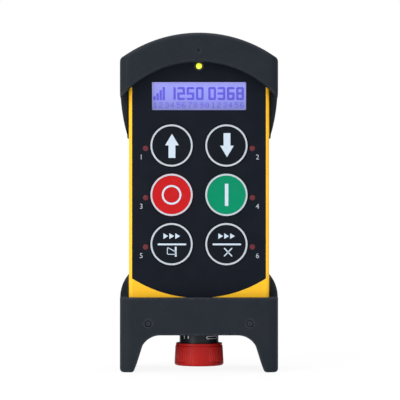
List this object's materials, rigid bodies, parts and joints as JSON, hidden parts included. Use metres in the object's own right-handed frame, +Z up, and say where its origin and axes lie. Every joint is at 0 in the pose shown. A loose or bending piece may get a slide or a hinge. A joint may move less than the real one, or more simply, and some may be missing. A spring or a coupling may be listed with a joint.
{
  "type": "crane radio remote control",
  "caption": "Hand-held radio remote control for a crane: flat keys, a display and a red stop button in an upright case between two rubber bumpers.",
  "frame": {"origin": "on the ground between the feet, under the middle of the case", "axes": "+Z up through the arched top, -Y out of the keys and the display, +X to the right seen from the front"},
  "size_m": [0.0856, 0.05, 0.1831],
  "materials": {
    "case_yellow": "satin moulded plastic",
    "bumper_rubber": "fine matt moulded rubber",
    "foil_black": "fine matt film",
    "key_black": "fine matt plastic with a light ring",
    "key_red": "fine matt plastic with a light ring",
    "key_green": "fine matt plastic with a light ring",
    "switch_black": "matt moulded plastic",
    "window_clear": "polished",
    "display_blue": "polished",
    "backlight_white": "matt moulded plastic",
    "lamp_green": "clear tinted",
    "lamp_red": "clear tinted, dark",
    "led_white": "clear",
    "board_green": "lacquered",
    "steel": "zinc plated",
    "steel_black": "blackened",
    "spring_steel": "drawn wire",
    "chip_black": "matt",
    "connector_ivory": "moulded",
    "can_tin": "tinned",
    "antenna_brass": "drawn wire",
    "cap_red": "satin moulded plastic",
    "collar_black": "satin moulded plastic",
    "seal_rubber": "matt",
    "block_blue": "moulded",
    "tray_black": "moulded",
    "cell_sleeve": "printed sleeve"
  },
  "bodies": {
    "case": {"front_shell": "case_yellow", "rear_shell": "case_yellow", "shell_gasket": "seal_rubber", "shell_screws": "steel", "top_bumper": "bumper_rubber", "bottom_bumper": "bumper_rubber", "bumper_screws": "steel_black", "keypad_foil": "foil_black", "switch_housings": "switch_black", "lcd_window": "window_clear", "lcd_panel": "display_blue", "lcd_backlight": "backlight_white", "status_lens": "lamp_green", "indicator_lenses": "lamp_red", "board_leds": "led_white", "main_board": "board_green", "board_screws": "steel", "board_chips": "chip_black", "board_connectors": "connector_ivory", "radio_module": "can_tin", "antenna": "antenna_brass", "buzzer": "chip_black", "stop_collar": "collar_black", "stop_nut": "steel", "stop_seal": "seal_rubber", "stop_spring": "spring_steel", "stop_contact_block": "block_blue", "battery_tray": "tray_black", "battery_cells": "cell_sleeve", "battery_springs": "spring_steel", "battery_contacts": "steel"},
    "key_1": {"key_1": "key_black", "key_plunger_1": "switch_black"},
    "key_2": {"key_2": "key_black", "key_plunger_2": "switch_black"},
    "key_3": {"key_3": "key_red", "key_plunger_3": "switch_black"},
    "key_4": {"key_4": "key_green", "key_plunger_4": "switch_black"},
    "key_5": {"key_5": "key_black", "key_plunger_5": "switch_black"},
    "key_6": {"key_6": "key_black", "key_plunger_6": "switch_black"},
    "stop_push": {"stop_shaft": "steel"},
    "stop_twist": {"stop_cap": "cap_red"},
    "battery_door": {"battery_door": "case_yellow", "battery_door_gasket": "seal_rubber", "battery_door_screws": "steel"}
  },
  "joints": [
    {"name": "key_1_press", "type": "slide", "parent": "case", "child": "key_1", "axis": [0, 1, 0], "range_m": [0, 0.001], "stiffness_N_per_m": 2500, "springref_m": -0.0006},
    {"name": "key_2_press", "type": "slide", "parent": "case", "child": "key_2", "axis": [0, 1, 0], "range_m": [0, 0.001], "stiffness_N_per_m": 2500, "springref_m": -0.0006},
    {"name": "key_3_press", "type": "slide", "parent": "case", "child": "key_3", "axis": [0, 1, 0], "range_m": [0, 0.001], "stiffness_N_per_m": 2500, "springref_m": -0.0006},
    {"name": "key_4_press", "type": "slide", "parent": "case", "child": "key_4", "axis": [0, 1, 0], "range_m": [0, 0.001], "stiffness_N_per_m": 2500, "springref_m": -0.0006},
    {"name": "key_5_press", "type": "slide", "parent": "case", "child": "key_5", "axis": [0, 1, 0], "range_m": [0, 0.001], "stiffness_N_per_m": 2500, "springref_m": -0.0006},
    {"name": "key_6_press", "type": "slide", "parent": "case", "child": "key_6", "axis": [0, 1, 0], "range_m": [0, 0.001], "stiffness_N_per_m": 2500, "springref_m": -0.0006},
    {"name": "stop_button_push", "type": "slide", "parent": "case", "child": "stop_push", "axis": [0, 0, 1], "range_m": [0, 0.004], "stiffness_N_per_m": 2000, "springref_m": -0.004, "deforming": ["stop_spring"]},
    {"name": "stop_button_twist", "type": "hinge", "parent": "stop_push", "child": "stop_twist", "pos_m": [0, 0, 0.009], "axis": [0, 0, 1], "range_deg": [0, 45], "stiffness_Nm_per_rad": 0.05, "springref_deg": -11.46},
    {"name": "battery_door_lift", "type": "slide", "parent": "case", "child": "battery_door", "axis": [0, 1, 0], "range_m": [0, 0.03]}
  ]
}
